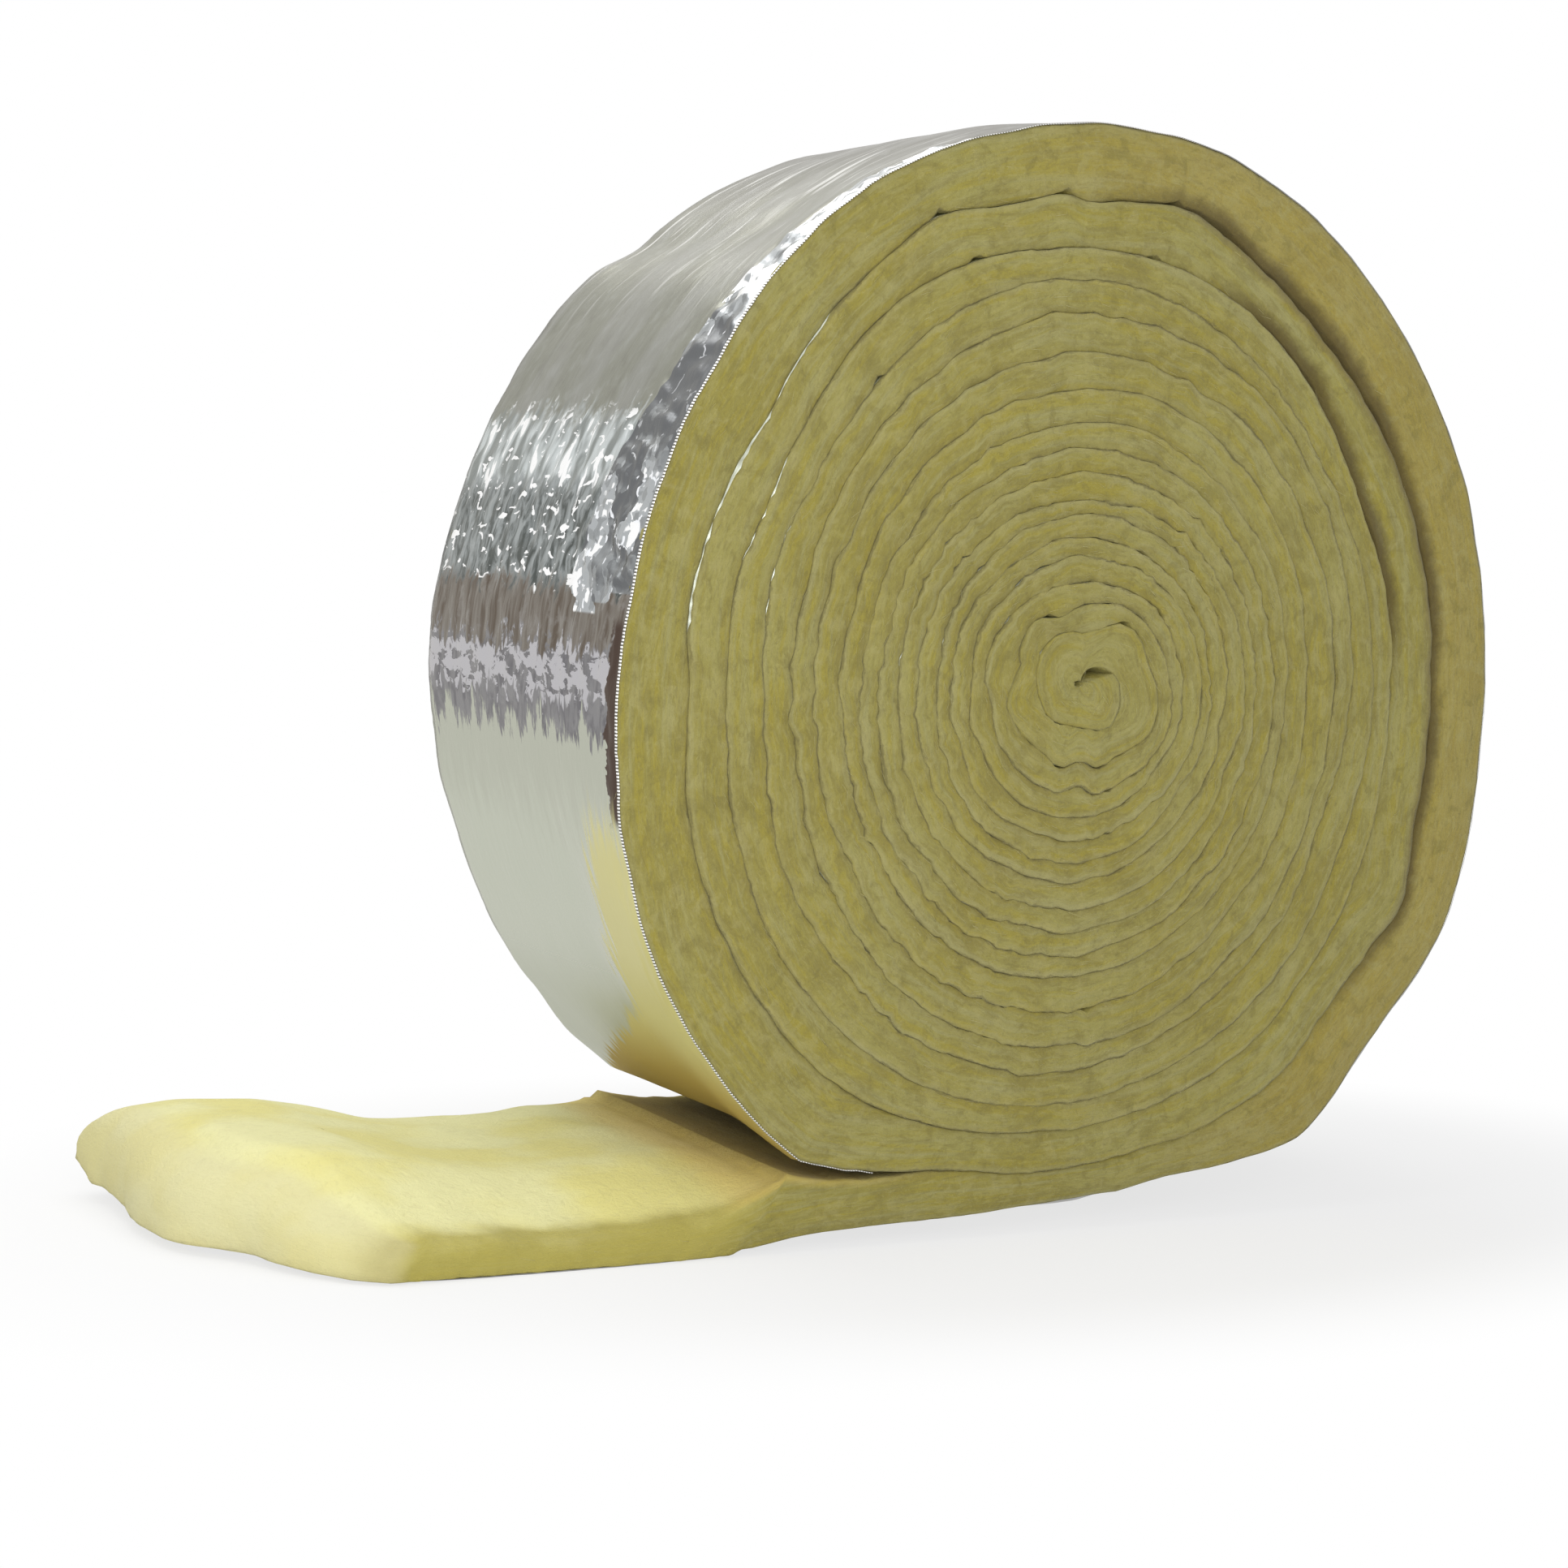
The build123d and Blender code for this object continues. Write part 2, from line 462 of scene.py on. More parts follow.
def divide_across(bm, first, last, cuts):
    """Cuts across the width, which is 2, from one station of the strip to another."""
    across = []
    for edge in bm.edges:
        start, end = edge.verts
        if abs(start.co.y - end.co.y) > 1.9 and first <= start.co.x <= last:
            across.append(edge)
    bmesh.ops.subdivide_edges(bm, edges=across, cuts=cuts, use_grid_fill=True)


def finish_mesh(bm, name, material):
    """Makes the object of a finished bmesh, smooth shaded, and puts it in the scene."""
    for face in bm.faces:
        face.smooth = True
    mesh = bpy.data.meshes.new(name)
    bm.to_mesh(mesh)
    bm.free()
    mesh.materials.append(material)
    piece = bpy.data.objects.new(name, mesh)
    bpy.context.scene.collection.objects.link(piece)
    return piece


# The cuts across the width: on the free end, up to where it stops, and on the outermost turn,
# where they lie near the borders
free_end_cuts = 47
free_end_stop = 0.055
outer_turn_cuts = 3
outer_cut_place = 0.8

# How many times the free end is smoothed, short of the nip and above its floor side
free_end_softness = 8
soft_stop = -0.03
soft_above = 0.1


def across_place(turn, y):
    """The place across the width: the few cuts of the outer turn lie near its borders."""
    if turn <= free_end_stop:
        return y
    if abs(y) <= 0.5:
        return y * outer_cut_place / 0.5
    return math.copysign(mix(outer_cut_place, 1, (abs(y) - 0.5) / 0.5), y)


def make_wool(sections, material):
    bm = bmesh.new()
    last = len(sections) - 1
    flat_strip(bm, last, thickness_rows)
    outer_from = next(i for i, s in enumerate(sections) if s.turn > free_end_stop)
    outer_to = next(i for i, s in enumerate(sections) if s.turn > outer_face_stop)
    divide_across(bm, -0.5, outer_from - 0.5, free_end_cuts)
    divide_across(bm, outer_from - 0.4, outer_to + 0.5, outer_turn_cuts)
    lay = bm.verts.layers.float_vector.new("lay")
    from_outer = bm.verts.layers.float.new("from_outer")
    from_inner = bm.verts.layers.float.new("from_inner")
    cream = bm.verts.layers.float.new("cream")
    turn_number = bm.verts.layers.float.new("turn")
    loose_end = []
    for vert in bm.verts:
        section = sections[round(vert.co.x)]
        u = thickness_places[round(vert.co.z)]
        v = across_place(section.turn, vert.co.y)
        vert[lay] = (section.run, u * section.thickness, v * half_width)
        vert[from_outer] = u * section.thickness
        vert[from_inner] = (1 - u) * section.thickness
        low = mix(0.3, -0.4, ease(-section.turn, 0.9, 0.995))
        open_top = ease(u, low, low + 0.67) * (1 - ease(section.turn, -0.1, 0.04))
        vert[cream] = open_top * ease(v, -1.12, -0.8)
        vert[turn_number] = section.turn
        if section.turn < soft_stop and u > soft_above:
            loose_end.append(vert)
        vert.co = blanket_point(section, u, v)
    for _ in range(free_end_softness):
        bmesh.ops.smooth_vert(
            bm, verts=loose_end, factor=0.5, use_axis_x=True, use_axis_y=True, use_axis_z=True
        )
    return finish_mesh(bm, "wool", material)


# The foil on the outside: how finely it is divided along and across, most where it is crumpled
foil_rows = 83
foil_near_rows = 0.46
foil_near_reach = 0.55
foil_steps = ((0.115, 16.0), (0.62, 8.0), (0.9, 2.6), (1.1, 5.0))

# The turns at which the outer foil starts and stops, and at which the foil between turns starts
foil_start = -0.965
foil_stop = 1.025
inner_foil_start = 1.09

# How high the foil's middle lies over the floor under the free end, the two sides of the foil
# between turns, out from the crease in millimetres, and the turn whose tone that foil has
foil_rise = 1.0 * mm
inner_foil_sides = (0.05, -0.3)
inner_foil_tone = 0.95

# The strip of crumpled foil along the near border: how far in it reaches, by the turn
strip_reach_at = curve_through((
    (0.6, -0.99), (0.64, -0.95), (0.67, -0.84), (0.7, -0.78), (0.74, -0.7), (0.77, -0.6),
    (0.8, -0.5), (0.83, -0.46), (0.85, -0.5),
))

# The folds whose sum is crumpled foil: direction, length from fold to fold, and height
folds = ((14, 21, 1.0), (62, 30, 1.1), (104, 19, 0.8), (153, 36, 1.2), (35, 11, 0.35))


def foil_stations():
    """Turns of the foil, from under the tip of the free end to the nip."""
    count = round(free_length / (foil_steps[0][1] * mm))
    turns = [foil_start * (1 - place / count) for place in range(count)]
    turn = 0.0
    while turn < foil_stop:
        turns.append(turn)
        step = next(length for limit, length in foil_steps if turn < limit)
        turn += step * mm / (2 * math.pi * outside_distance(turn))
    return turns


def foil_row_place(y):
    """The place across the width of a row of the foil: the near rows lie closer together."""
    share = (y + 1) / 2
    if share <= foil_near_rows:
        return -1 + foil_near_reach * share / foil_near_rows
    return mix(foil_near_reach - 1, 1, (share - foil_near_rows) / (1 - foil_near_rows))


def strip_amount(turn, v):
    """How far a place lies in the crumpled strip along the near border: 0 outside it, 1 in it."""
    if turn < 0.6:
        return 0
    inside = 1 - ease(v, strip_reach_at(turn) - 0.04, strip_reach_at(turn) + 0.04)
    return inside * ease(turn, 0.61, 0.66) * (1 - ease(turn, 0.815, 0.834))


def grip_amount(turn, v):
    """How much the foil is pushed into small folds: most where the roll was gripped."""
    gripped = ease(turn, 0.765, 0.785) * (1 - ease(turn, 0.83, 0.87))
    border = 0.7 * ease(-v, 0.75, 0.98) * ease(turn, 0.52, 0.62)
    far_border = 0.3 * ease(v, 0.8, 1.0)
    smooth = mix(0.28, 0.08, ease(turn, 0.5, 0.6))
    return max(smooth, gripped, border, far_border) * ease(turn, 0.1, 0.25)


def fold_height(run, across):
    """The height of flat facets between sharp folds, as in crumpled foil, from about -2 to 2."""
    height = 0
    for heading, length, size in folds:
        angle = math.radians(heading)
        along = (run * math.cos(angle) + 0.55 * across * math.sin(angle)) / (length * mm)
        along += 0.45 * ripple(run, across, 0.035, heading)
        height += size * (4 * abs(along % 1.0 - 0.5) - 1)
    return height


def crumple(run, across, turn, v):
    """The height of the foil's creases over the wool, in metres."""
    strip = strip_amount(turn, v)
    grip = grip_amount(turn, v)
    height = 0.25 * ripple(run, across, 0.03, 43.0)
    if grip > 0.1:
        height += grip * 1.1 * (1 - 2.4 * abs(ripple(run, across * 2.4, 0.034, 41.0)))
        height += grip * 0.5 * (1 - 2.4 * abs(ripple(run, across * 2.0, 0.015, 42.0)))
    if strip > 0:
        height += strip * 0.75 * fold_height(run, across)
    return height * mm * ease(1 - abs(v), 0.0, 0.05)


def foil_point(section, v, height):
    """A point of the outer foil, that high over the smooth face of the roll."""
    if section.turn < 0:
        base = free_end_point(section, 0.0, v)
        base.z += foil_rise - wool_lift
        return base
    face = outer_face(section, v) + section.outward * (height - foil_thickness)
    return Vector((face.x, 0, max(face.y, foil_thickness)))


def foil_sections():
    """The sections of the outer foil, with the run along it from its tip."""
    sections = []
    for turn in foil_stations():
        section = Section(turn, 0.0)
        if turn < 0:
            section.run = free_length * (1 + turn)
        elif sections:
            section.run = sections[-1].run + (section.outer - sections[-1].outer).length
        sections.append(section)
    return sections


def foil_layers(bm):
    """What the foil's finish reads: place on the flat foil, the folds' slope for painted facet
    shading and the crumpled strip's share, distance from its edge, turn.
    """
    layers = bm.verts.layers
    lay = layers.float_vector.new("lay")
    tone = layers.float_vector.new("tone")
    return lay, tone, layers.float.new("edge"), layers.float.new("turn")


def make_foil_skin(material):
    sections = foil_sections()
    bm = bmesh.new()
    columns = len(sections) - 1
    place = Matrix.Translation((columns / 2, 0, 0))
    spread = Matrix.Diagonal((columns / 2, 1, 1, 1))
    bmesh.ops.create_grid(
        bm, x_segments=columns, y_segments=foil_rows, size=1, matrix=place @ spread
    )
    lay, tone, edge, turn_number = foil_layers(bm)
    for vert in bm.verts:
        section = sections[round(vert.co.x)]
        v = foil_row_place(vert.co.y)
        run = section.run
        turn = section.turn
        across = v * half_width
        fray = 0.7 * ripple(run, 0, 0.006, 51.0) + 0.8 * ripple(run, 0, 0.03, 52.0)
        set_back = (foil_set_back_at(turn) + fray) * mm
        across -= set_back * ease(abs(v), 0.6, 1.0) * (1 if v > 0 else -1)
        height = crumple(run, across, turn, v)
        tilt = crumple(run + 2 * mm, across + mm, turn, v) - height
        place = foil_point(section, across / half_width, max(height, -1.2 * mm))
        vert[lay] = (run, 0, across)
        # The folds' slope, which lightens or darkens each facet as painted shading, and the strip's
        # share
        vert[tone] = (0.7 * tilt / mm, strip_amount(turn, v), 0)
        vert[edge] = (1 + v) * half_width
        vert[turn_number] = turn
        vert.co = (place.x, across, place.z)
    bmesh.ops.recalc_face_normals(bm, faces=bm.faces[:])
    piece = finish_mesh(bm, "foil_skin", material)
    wall = piece.modifiers.new("foil_thickness", "SOLIDIFY")
    wall.thickness = foil_thickness
    wall.offset = 0
    return piece


# Where the edge of the inner foil shows at the ends as a glint: the turn it starts and stops at
glint_spans = ((1.715, 1.83), (2.76, 2.81), (3.775, 3.82), (15.01, 15.04), (9.82, 9.84))
glint_fade = 0.004


def foil_edge_depth(turn):
    """How far the inner foil's edge lies behind the cut end of the roll."""
    depth = inner_round_at(turn - 1) + 2.5
    for start, stop in glint_spans:
        shown = ease(turn, start - glint_fade, start + glint_fade)
        shown *= 1 - ease(turn, stop - glint_fade, stop + glint_fade)
        dashes = 4.0 * noise.noise(Vector((turn * 210, 62.0, 0)))
        depth = mix(depth, 1.2 + dashes, shown)
    return depth * mm


def make_foil_turns(sections, material):
    wound = [section for section in sections if section.turn > inner_foil_start]
    bm = bmesh.new()
    columns = len(wound) - 1
    flat_strip(bm, columns, 1)
    lay, _, edge, turn_number = foil_layers(bm)
    for vert in bm.verts:
        section = wound[round(vert.co.x)]
        across = math.copysign(half_width - foil_edge_depth(section.turn), vert.co.y)
        face = section.outer + section.outward * mix(*inner_foil_sides, vert.co.z) * mm
        vert[lay] = (section.run, 0, across)
        vert[edge] = half_width
        # The foil between turns takes the painted reflection tone of the outer foil at that turn
        vert[turn_number] = inner_foil_tone
        vert.co = Vector((face.x, across, face.y))
    return finish_mesh(bm, "foil_turns", material)


# The loose fibres on the ends of the roll and along the free end: how many, and their sizes
fibre_doublings = 12
fibre_radius = 0.13 * mm
fibre_lengths = (5 * mm, 13 * mm)
fibre_verts = 12


def fibre_root(sections, chance):
    """Where a fibre starts on the wool, the way along the blanket there, and the way out of it."""
    section = sections[int(chance.random() ** 0.6 * (len(sections) - 2))]
    beyond = sections[min(sections.index(section) + 1, len(sections) - 1)]
    side = -1.0 if chance.random() < 0.7 else 1.0
    u = chance.random()
    out = Vector((0, side, 0))
    v = side
    if section.turn < -0.05 and chance.random() < 0.5:
        u = 1.0
        v = chance.uniform(-1.0, 1.0)
        out = Vector((0, 0, 1))
    root = blanket_point(section, u, v)
    return root, (blanket_point(beyond, u, v) - root).normalized(), out


def make_fibres(sections, material):
    """Thousands of loose glass fibres that lie on the cut ends and on the free end."""
    chance = random.Random(7)
    bm = bmesh.new()
    bmesh.ops.create_cone(
        bm, cap_ends=True, segments=3, radius1=1.0, radius2=0.3, depth=1.0,
        matrix=Matrix.Translation((0, 0, 0.5)),
    )
    long_edges = [edge for edge in bm.edges if abs(edge.verts[0].co.z - edge.verts[1].co.z) > 0.9]
    bmesh.ops.subdivide_edges(bm, edges=long_edges, cuts=2)
    for _ in range(fibre_doublings):
        bmesh.ops.duplicate(bm, geom=bm.verts[:] + bm.edges[:] + bm.faces[:])
    bm.verts.index_update()
    places = []
    for _ in range(2 ** fibre_doublings):
        root, along, out = fibre_root(sections, chance)
        heading = (along * chance.choice((-1, 1)) + out * chance.uniform(0.05, 0.35)).normalized()
        heading = (heading + Vector([chance.uniform(-0.35, 0.35) for _ in range(3)])).normalized()
        bend = out * chance.uniform(-0.25, 0.1)
        places.append((root - out * 0.3 * mm, heading, bend, chance.uniform(*fibre_lengths)))
    for vert in bm.verts:
        root, heading, bend, length = places[vert.index // fibre_verts]
        across = heading.orthogonal().normalized()
        beside = heading.cross(across)
        share = vert.co.z
        middle = root + (heading * share + bend * share * share) * length
        vert.co = middle + (across * vert.co.x + beside * vert.co.y) * fibre_radius
    return finish_mesh(bm, "wool_fibres", material)


class Nodes:
    """The nodes of a material or a world, and short calls that add and join them."""

    def __init__(self, owner):
        owner.use_nodes = True
        self.nodes = owner.node_tree.nodes
        self.links = owner.node_tree.links

    def feed(self, socket, value):
        """Joins a node's output to the socket, or sets the socket to a plain value."""
        if isinstance(value, bpy.types.NodeSocket):
            self.links.new(value, socket)
        elif value is not None:
            socket.default_value = value

    def add(self, kind, output, sockets, **settings):
        """Adds a node with its settings, feeds its sockets, and gives one of its outputs."""
        node = self.nodes.new("ShaderNode" + kind)
        for name, setting in settings.items():
            setattr(node, name, setting)
        for name, value in sockets.items():
            self.feed(node.inputs[name], value)
        return node.outputs[output]

    def attribute(self, name, output="Fac"):
        return self.add("Attribute", output, {}, attribute_name=name)

    def object_place(self):
        return self.add("TexCoord", "Object", {})

    def stretched(self, place, scale):
        return self.add("Mapping", "Vector", {"Vector": place, "Scale": scale})

    def cloud(self, place, scale, detail=3.0, roughness=0.55, distortion=0.0):
        return self.add("TexNoise", "Fac", {
            "Vector": place, "Scale": scale, "Detail": detail, "Roughness": roughness,
            "Distortion": distortion,
        })

    def drawn_out(self, place, scale, detail, roughness, distortion=0.0):
        """A cloud with a scale of its own along each way of the blanket."""
        return self.cloud(self.stretched(place, scale), 1.0, detail, roughness, distortion)

    def warped(self, place, scale, reach):
        """The place shifted about by a cloud, which makes what is drawn there uneven."""
        shift = self.add("TexNoise", "Color", {"Vector": place, "Scale": scale})
        sockets = {0: shift, 1: (reach, reach, reach), 2: place}
        return self.add("VectorMath", 0, sockets, operation="MULTIPLY_ADD")

    def facets(self, place):
        """A random number for each of many small facets."""
        colour = self.add("TexVoronoi", "Color", {"Vector": place, "Scale": 1.0})
        return self.add("SeparateColor", 0, {0: colour})

    def folds_between(self, place):
        """The distance from the nearest border between the same facets."""
        sockets = {"Vector": place, "Scale": 1.0}
        return self.add("TexVoronoi", "Distance", sockets, feature="DISTANCE_TO_EDGE")

    def part(self, vector, axis):
        """One of the three numbers of a vector."""
        return self.add("SeparateXYZ", axis, {0: vector})

    def maths(self, kind, first, second=None):
        return self.add("Math", 0, {0: first, 1: second}, operation=kind)

    def plus(self, first, second):
        return self.maths("ADD", first, second)

    def minus(self, first, second):
        return self.maths("SUBTRACT", first, second)

    def times(self, first, second):
        return self.maths("MULTIPLY", first, second)

    def span(self, value, start, end, low=0.0, high=1.0):
        """Maps start to end of a value onto low to high, smoothly, and holds it beyond them."""
        sockets = dict(enumerate((value, start, end, low, high)))
        return self.add("MapRange", 0, sockets, interpolation_type="SMOOTHSTEP")

    def within(self, value, start, stop, edge):
        """1 between start and stop, 0 outside them, with soft edges."""
        rising = self.span(value, start - edge, start + edge)
        return self.times(rising, self.span(value, stop - edge, stop + edge, 1.0, 0.0))

    def shifted(self, value, wander, reach):
        """The value with its place shifted by up to half that reach by a cloud."""
        return self.plus(value, self.times(self.minus(wander, 0.5), reach))

    def blend(self, share, low, high, kind="MIX"):
        """Mixes two colours by a share."""
        sockets = {0: share}
        for socket, value in ((6, low), (7, high)):
            plain = not isinstance(value, bpy.types.NodeSocket)
            sockets[socket] = (*value, 1.0) if plain else value
        return self.add("Mix", 2, sockets, data_type="RGBA", blend_type=kind)

    def toned(self, value, start, end, low, high):
        """The low colour up to where the value starts, and the high one from where it ends."""
        return self.blend(self.span(value, start, end), low, high)

    def tinted(self, colour, *tints):
        """The colour with tints laid on one by one, by the row: a value, where the tint starts
        and ends in it, its full share, its colour, and the regions that it keeps to, if any."""
        for value, start, end, share, tint, *regions in tints:
            amount = self.span(value, start, end, 0.0, share)
            for region in regions:
                amount = self.times(amount, region)
            colour = self.blend(amount, colour, tint)
        return colour

    def bump(self, height, distance, strength):
        sockets = {"Height": height, "Distance": distance, "Strength": strength}
        return self.add("Bump", "Normal", sockets)

    def show_by_ray(self, lighting, seen, share=1.0):
        """Ends in one shader for what a ray lights, and another for what is seen by it."""
        path = self.nodes.new("ShaderNodeLightPath").outputs
        rays = self.maths("MAXIMUM", path["Is Camera Ray"], path["Is Glossy Ray"])
        rays = self.maths("MAXIMUM", rays, path["Is Transmission Ray"])
        both = self.add("MixShader", 0, {0: self.times(share, rays), 1: lighting, 2: seen})
        output = next(node for node in self.nodes if node.name.endswith("Output"))
        self.feed(output.inputs["Surface"], both)


class Finish(Nodes):
    """A material, with calls that set its surface."""

    def __init__(self, name):
        self.material = bpy.data.materials.new(name)
        super().__init__(self.material)
        self.surface = self.nodes["Principled BSDF"]

    def set(self, **values):
        """Joins or sets the surface's own sockets, named with _ for a space."""
        for name, value in values.items():
            self.feed(self.surface.inputs[name.replace("_", " ")], value)


def wool_finish():
    """Glass wool: matted fibres laid along the blanket, olive yellow, cream on its loose top."""
    finish = Finish("wool")
    flat = finish.attribute("lay", "Vector")
    place = finish.object_place()
    turn = finish.attribute("turn")
    patches = finish.cloud(place, 9.0, 3.0, 0.5)
    bands = finish.drawn_out(flat, (8, 115, 14), 3.0, 0.55, 0.6)
    mats = finish.drawn_out(flat, (28, 85, 60), 4.0, 0.6, 1.0)
    strands = finish.drawn_out(flat, (120, 380, 260), 5.0, 0.65, 0.6)
    clumps = finish.cloud(place, 60.0, 4.0, 0.6, 0.6)
    felt = finish.cloud(place, 420.0, 4.0, 0.7)
    colour = finish.toned(patches, 0.42, 0.58, (0.325, 0.288, 0.09), (0.36, 0.33, 0.125))
    colour = finish.tinted(
        colour,
        (bands, 0.5, 0.62, 0.7, (0.37, 0.315, 0.062)),
        (bands, 0.47, 0.34, 0.65, (0.38, 0.36, 0.19)),
        (mats, 0.5, 0.62, 0.5, (0.27, 0.235, 0.085)),
        (mats, 0.47, 0.36, 0.5, (0.4, 0.365, 0.16)),
    )
    outer_turn = finish.times(finish.within(turn, 0.16, 0.6, 0.05), 0.45)
    colour = finish.blend(outer_turn, colour, (0.41, 0.315, 0.1))
    colour = finish.tinted(
        colour,
        (clumps, 0.52, 0.66, 0.45, (0.41, 0.375, 0.18)),
        (clumps, 0.46, 0.34, 0.45, (0.235, 0.205, 0.068)),
        (strands, 0.48, 0.36, 0.28, (0.21, 0.188, 0.08)),
        (strands, 0.54, 0.66, 0.28, (0.46, 0.425, 0.205)),
        (felt, 0.54, 0.7, 0.25, (0.47, 0.435, 0.22)),
        (felt, 0.46, 0.3, 0.25, (0.2, 0.178, 0.075)),
    )
    colour = finish.blend(1.0, colour, (0.945, 0.93, 0.76), "MULTIPLY")
    # Painted shade in the creases, gaps and inside of the ends, and painted light on the turns'
    # edges
    colour = wool_painted_turn_shading(finish, colour, place, turn)
    colour = wool_free_end(finish, colour, place, turn, strands)
    height = finish.plus(finish.times(strands, 0.6), finish.times(felt, 0.4))
    normal = finish.bump(finish.plus(height, clumps), 0.005, 0.45)
    finish.set(Base_Color=colour, Normal=normal, Roughness=0.95)
    finish.set(Sheen_Weight=0.1, Sheen_Roughness=0.6, Specular_IOR_Level=0.1)
    return finish.material


def wool_painted_turn_shading(finish, colour, place, turn):
    """Faint, broken painted shade in the creases between the turns, painted shadow in the gaps
    where they gape and painted shade inside the ends, with a darker inner side and a paler outer
    edge painted on each turn.
    """
    wound = finish.times(finish.span(turn, -0.02, 0.08), finish.span(turn, 15.5, 15.7, 1.0, 0.3))
    wander = finish.times(finish.minus(finish.cloud(place, 110.0, 4.0, 0.7), 0.5), 0.008)
    outer_side = finish.maths("ABSOLUTE", finish.plus(finish.attribute("from_outer"), wander))
    inner_side = finish.maths("ABSOLUTE", finish.minus(finish.attribute("from_inner"), wander))
    either_side = finish.maths("MINIMUM", outer_side, inner_side)
    broken = finish.span(finish.cloud(place, 24.0, 4.0, 0.65), 0.42, 0.6, 0.0, 0.55)
    loose = finish.within(turn, 0.24, 0.57, 0.04)
    gaping = finish.maths("MAXIMUM", loose, finish.within(turn, 1.36, 1.53, 0.02))
    behind = finish.within(turn, 1.26, 1.56, 0.03)
    depth = finish.minus(half_width, finish.maths("ABSOLUTE", finish.part(place, 1)))
    outside_core = finish.span(turn, 14.0, 15.0, 1.0, 0.0)
    # Painted shade on inner sides, creases, gaps and deep inside; painted light on outer edges
    return finish.tinted(
        colour,
        (inner_side, 0.01, 0.0, 0.25, (0.22, 0.18, 0.05), wound),
        (outer_side, 0.006, 0.001, 0.25, (0.41, 0.38, 0.19), wound),
        (either_side, 0.0016, 0.0002, 1.0, (0.15, 0.13, 0.055), broken, wound),
        (inner_side, 0.016, 0.003, 0.8, (0.1, 0.072, 0.026), gaping),
        (outer_side, 0.01, 0.001, 0.55, (0.15, 0.11, 0.04), behind),
        (depth, 0.012, 0.045, 1.0, (0.055, 0.043, 0.016), wound, outside_core),
    )


def wool_free_end(finish, colour, place, turn, strands):
    """The loose free end: yellow sides, a cream top, duller at its torn tip, and a brighter, more
    orange tone painted on its top under the roll as bounce light in the shade there.
    """
    tufts = finish.drawn_out(place, (9, 15, 15), 3.0, 0.5)
    top = finish.toned(tufts, 0.38, 0.62, (0.76, 0.7, 0.275), (0.79, 0.76, 0.4))
    top = finish.tinted(top, (strands, 0.48, 0.36, 0.2, (0.6, 0.55, 0.27)))
    cream = finish.shifted(finish.attribute("cream"), finish.cloud(place, 26.0, 3.0, 0.6), 0.6)
    from_inner = finish.attribute("from_inner")
    # Painted bounce light: under the roll the top is painted a brighter, more orange tone in its
    # shade
    return finish.tinted(
        colour,
        (turn, 0.05, -0.14, 0.75, (0.48, 0.415, 0.095)),
        (cream, 0.12, 0.95, 1.0, top),
        (turn, -0.93, -1.0, 0.45, (0.66, 0.61, 0.36)),
        (from_inner, 0.012, 0.001, 0.5, (0.78, 0.58, 0.17), finish.within(turn, -0.12, 0.02, 0.05)),
    )


def fibre_finish():
    """Single glass fibres, paler than the mat."""
    finish = Finish("fibre")
    pale = finish.cloud(finish.object_place(), 40.0)
    finish.set(Base_Color=finish.blend(pale, (0.42, 0.38, 0.17), (0.66, 0.62, 0.36)))
    finish.set(Roughness=0.6, Specular_IOR_Level=0.3)
    return finish.material


white = (1.0, 1.0, 1.0)


